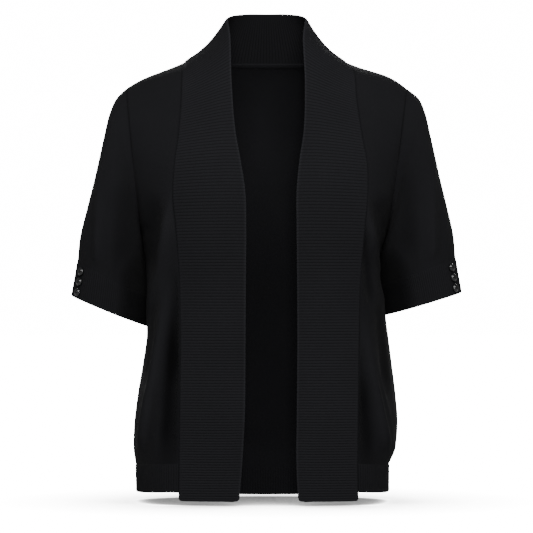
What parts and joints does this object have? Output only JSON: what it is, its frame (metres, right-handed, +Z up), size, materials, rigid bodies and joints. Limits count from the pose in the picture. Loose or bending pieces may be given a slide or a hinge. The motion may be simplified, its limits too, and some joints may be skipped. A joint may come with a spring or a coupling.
{
  "type": "cardigan",
  "caption": "Open-front fine-knit cardigan in its worn, hollow form, with elbow-length sleeves, buttoned rib cuffs, a rib welt and a wide rib band that stands up as a collar.",
  "frame": {"origin": "middle of the neck, level with the highest points of the two shoulder seams, where the wearer's shoulders carry the garment", "axes": "+Z up, -Y the way the front faces, +X towards the wearer's left"},
  "size_m": [0.5622, 0.235, 0.71],
  "materials": {
    "knit": "matt fine knit, black",
    "rib": "matt fine rib knit, black",
    "button": "polished black"
  },
  "bodies": {
    "root": {"back": "knit", "front_right": "knit", "front_left": "knit", "sleeve_right": "knit", "sleeve_left": "knit", "band": "rib", "hem_back": "rib", "hem_right": "rib", "hem_left": "rib", "cuff_right": "rib", "cuff_left": "rib", "button_right_1": "button", "button_right_2": "button", "button_right_3": "button", "button_left_1": "button", "button_left_2": "button", "button_left_3": "button"}
  },
  "joints": []
}
